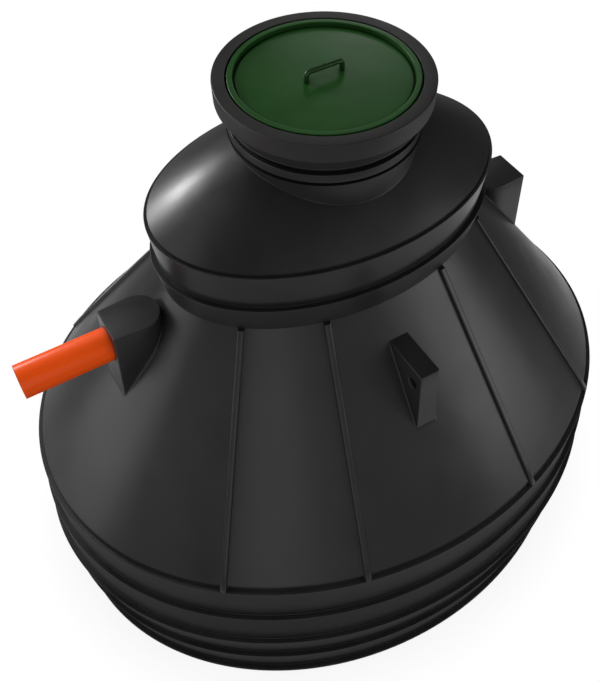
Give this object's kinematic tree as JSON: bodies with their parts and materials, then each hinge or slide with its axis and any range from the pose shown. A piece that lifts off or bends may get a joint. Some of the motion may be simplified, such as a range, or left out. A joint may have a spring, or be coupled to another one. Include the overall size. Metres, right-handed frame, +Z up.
{
  "type": "sewage holding tank",
  "caption": "Oval plastic sewage tank: hooped wall, ribbed sloping shoulders, domed collar, round manhole with lift-off lid, inlet pipe and lifting lugs.",
  "frame": {"origin": "on the ground under the middle of the base", "axes": "+Z up; X along the tank's length, with the inlet pipe at -X and the blank outlet boss at +X; Y across it"},
  "size_m": [2.258, 1.858, 2.0483],
  "materials": {
    "black_plastic": "satin moulded polyethylene",
    "green_plastic": "fine-grained moulded plastic",
    "orange_plastic": "smooth extruded drain pipe"
  },
  "bodies": {
    "tank": {"base_floor": "black_plastic", "wall_hoop_1": "black_plastic", "wall_hoop_2": "black_plastic", "wall_hoop_3": "black_plastic", "wall_hoop_4": "black_plastic", "shoulder_shell": "black_plastic", "rib_near_inlet_front": "black_plastic", "rib_near_inlet_middle": "black_plastic", "rib_near_outlet_front": "black_plastic", "rib_near_outlet_middle": "black_plastic", "rib_far_inlet_front": "black_plastic", "rib_far_inlet_middle": "black_plastic", "rib_far_outlet_front": "black_plastic", "rib_far_outlet_middle": "black_plastic", "collar_lower": "black_plastic", "collar_upper": "black_plastic", "dome_cap": "black_plastic", "neck_riser": "black_plastic", "neck_band": "black_plastic", "manhole_frame": "black_plastic", "inlet_boss": "black_plastic", "outlet_boss": "black_plastic", "lifting_lug_near": "black_plastic", "lifting_lug_far": "black_plastic", "inlet_pipe": "orange_plastic"},
    "lid": {"lid_plate": "green_plastic", "lid_handle": "green_plastic"}
  },
  "joints": [
    {"name": "lid_lift", "type": "slide", "parent": "tank", "child": "lid", "axis": [0, 0, 1], "range_m": [0, 0.35]}
  ]
}
